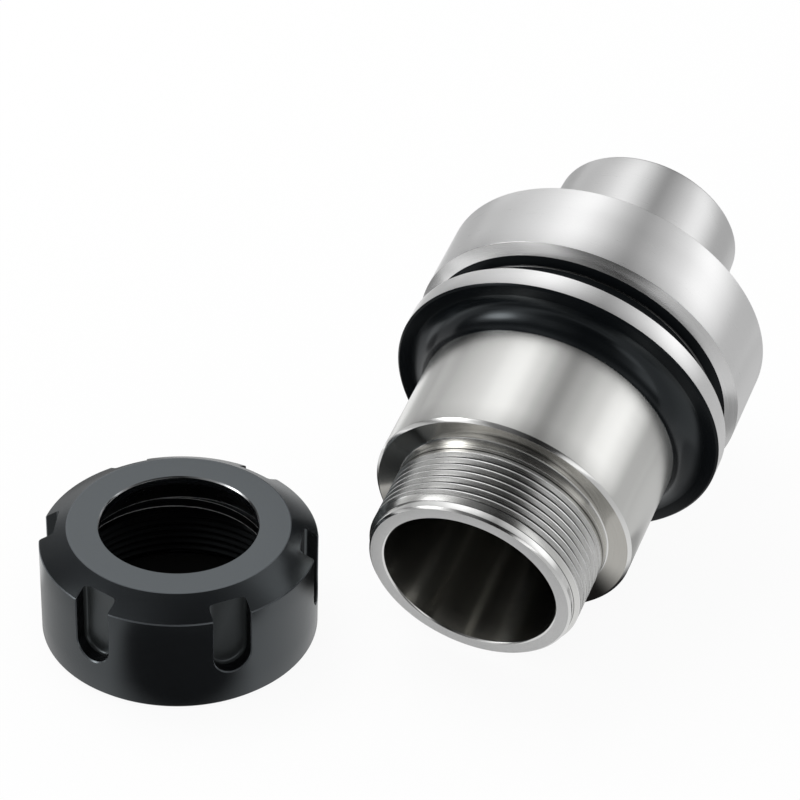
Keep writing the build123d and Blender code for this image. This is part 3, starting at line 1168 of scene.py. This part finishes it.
# Round soft boxes: direction in the row's frame, inner and outer half angle, and level
SOFT_BOXES = (
    ((-0.65, 0.76, -0.02), 6, 22, 0.4),
    ((-0.75, -0.52, 0.41), 3, 14, 3.3),
    ((0.545, -0.838, 0.03), 3, 16, 0.8),
)


def strip_level(tree, around, along, strips, reach, gain):
    """Level of a set of strips, from where a direction is round the axis and along it."""
    stops = [((degree + 180.0) / 360.0, level) for degree, level in strips]
    across = ramp(tree, around, stops)
    return maths(tree, "MULTIPLY", maths(tree, "MULTIPLY", across, ramp(tree, along, reach)), gain)


def soft_box(tree, unit, direction, inner, outer, strength):
    """Level of one round soft box."""
    aim = Vector(direction).normalized()
    dot = node(tree, "ShaderNodeVectorMath", operation="DOT_PRODUCT")
    tree.links.new(unit, dot.inputs[0])
    dot.inputs[1].default_value = (aim.dot(BODY_UP), aim.dot(BODY_SIDE), aim.dot(BODY_AXIS))
    return smooth_step(tree, dot.outputs["Value"], cos(radians(outer)), cos(radians(inner)), 0.0, strength)


def make_tent():
    """A dome with the soft strips and soft boxes, and darker gaps between them."""
    bpy.ops.mesh.primitive_uv_sphere_add(segments=64, ring_count=32, radius=TENT_RADIUS, location=(0, 0, 0))
    tent = bpy.context.object
    tent.name = "studio_tent"
    only_reflected(tent)
    material = bpy.data.materials.new("studio_tent")
    tree = cleared_tree(material)
    place = node(tree, "ShaderNodeTexCoord")
    place.object = body_axes
    unit = node(tree, "ShaderNodeVectorMath", operation="NORMALIZE")
    tree.links.new(place.outputs["Object"], unit.inputs[0])
    x, y, z = split_xyz(tree, unit.outputs[0])
    around = maths(tree, "MULTIPLY_ADD", maths(tree, "ARCTAN2", y, x), 1 / (2 * pi), 0.5)
    along = maths(tree, "MULTIPLY_ADD", z, 0.5, 0.5)
    level = maths(
        tree,
        "ADD",
        strip_level(tree, around, along, REAR_STRIPS, REAR_REACH, REAR_GAIN),
        strip_level(tree, around, along, FRONT_STRIPS, FRONT_REACH, FRONT_GAIN),
    )
    for box in SOFT_BOXES:
        level = maths(tree, "ADD", level, soft_box(tree, unit.outputs[0], *box))
    glowing(tree, level)
    tent.data.materials.append(material)


# The table card lies just above the floor, and its sides just reach the tent.
TABLE_SIZE = 3.9
TABLE_HEIGHT = 0.00002
# Painted shadows and pools of light on the table, in metres: centre, half widths and how much light they take
# away. One that takes away less than nothing is a pool of light, brighter than the table round it.
TABLE_SHADOWS_AND_POOLS = (
    ((0.012, -0.003), (0.052, 0.022), 0.98),
    ((-0.006, -0.088), (0.035, 0.037), 0.95),
    ((0.036, -0.070), (0.026, 0.030), 0.90),
    ((0.080, 0.060), (0.050, 0.065), 0.22),
    ((0.063, 0.010), (0.020, 0.014), 0.45),
    ((-0.060, -0.300), (0.160, 0.200), 0.70),
    ((-0.086, 0.012), (0.030, 0.028), 0.72),
    ((-0.055, 0.080), (0.045, 0.045), -0.35),
    ((-0.072, -0.020), (0.022, 0.030), -0.9),
    ((-0.125, -0.105), (0.045, 0.085), -1.0),
)
PATCH_EDGE = 0.72
# The table is lighter under the body than away from it, a painted pool of light.
TABLE_CENTRE = (0.01, 0.04, 0.0)
TABLE_NEAR = 0.06
TABLE_FAR = 0.16
TABLE_NEAR_LEVEL = 0.70
TABLE_FAR_LEVEL = 0.48
INSIDE_SHADOW_RADIUS = 0.023
INSIDE_SHADOW_HEIGHT = 0.00004


def patch_level(tree, x, y, centre, half, depth):
    """Level of one elliptical patch of the table, which is 1 outside it."""
    east = maths(tree, "MULTIPLY", maths(tree, "SUBTRACT", x, centre[0]), 1 / half[0])
    north = maths(tree, "MULTIPLY", maths(tree, "SUBTRACT", y, centre[1]), 1 / half[1])
    square = maths(tree, "ADD", maths(tree, "MULTIPLY", east, east), maths(tree, "MULTIPLY", north, north))
    return smooth_step(tree, maths(tree, "SQRT", square), PATCH_EDGE, 1.0, 1.0 - depth, 1.0)


def make_table_card():
    """The floor as reflections see it, with painted shadows and pools of light."""
    bpy.ops.mesh.primitive_plane_add(size=TABLE_SIZE, location=(0.0, 0.0, TABLE_HEIGHT))
    table = bpy.context.object
    table.name = "table_card"
    only_reflected(table)
    material = bpy.data.materials.new("table_card")
    tree = cleared_tree(material)
    position = node(tree, "ShaderNodeNewGeometry").outputs["Position"]
    x, y = split_xyz(tree, position)[:2]
    away = node(tree, "ShaderNodeVectorMath", operation="DISTANCE")
    tree.links.new(position, away.inputs[0])
    away.inputs[1].default_value = TABLE_CENTRE
    distance = away.outputs["Value"]
    level = smooth_step(tree, distance, TABLE_NEAR, TABLE_FAR, TABLE_NEAR_LEVEL, TABLE_FAR_LEVEL)
    for patch in TABLE_SHADOWS_AND_POOLS:
        level = maths(tree, "MULTIPLY", level, patch_level(tree, x, y, *patch))
    glowing(tree, level)
    table.data.materials.append(material)


def make_shadow_inside_nut():
    """A near-black disc on the floor inside the nut, a painted shadow where no light gets in."""
    spot = (*(NUT_BASE * MM).to_2d(), INSIDE_SHADOW_HEIGHT)
    bpy.ops.mesh.primitive_circle_add(
        vertices=64, radius=INSIDE_SHADOW_RADIUS, fill_type="NGON", location=spot
    )
    patch = bpy.context.object
    patch.name = "painted_shadow_inside_nut"
    material = bpy.data.materials.new("painted_shadow_inside_nut")
    material.use_nodes = True
    shader = material.node_tree.nodes["Principled BSDF"]
    shader.inputs["Base Color"].default_value = (*grey(0.01), 1.0)
    shader.inputs["Roughness"].default_value = 0.6
    patch.data.materials.append(material)


make_tent()
make_table_card()
make_shadow_inside_nut()

# Camera, fitted to the circles of the body and the nut in the photograph
CAMERA_PLACE = Vector((0.1773, -0.4494, 0.3682))
CAMERA_RIGHT = Vector((0.92049, 0.3899, 0.0261))
CAMERA_UP = Vector((-0.24238, 0.51727, 0.82078))
CAMERA_BACK = Vector((0.30652, -0.76185, 0.57064))
SENSOR_WIDTH = 36.0
FOCAL_LENGTH = 144.6


def make_camera():
    """The camera at the photograph's viewing angle."""
    data = bpy.data.cameras.new("camera")
    data.sensor_width = SENSOR_WIDTH
    data.lens = FOCAL_LENGTH
    data.clip_start = 0.01
    camera = bpy.data.objects.new("camera", data)
    bpy.context.scene.collection.objects.link(camera)
    turn = Matrix((CAMERA_RIGHT, CAMERA_UP, CAMERA_BACK)).transposed().to_4x4()
    turn.translation = CAMERA_PLACE
    camera.matrix_world = turn
    bpy.context.scene.camera = camera


make_camera()
bpy.context.scene.view_settings.view_transform = "Standard"
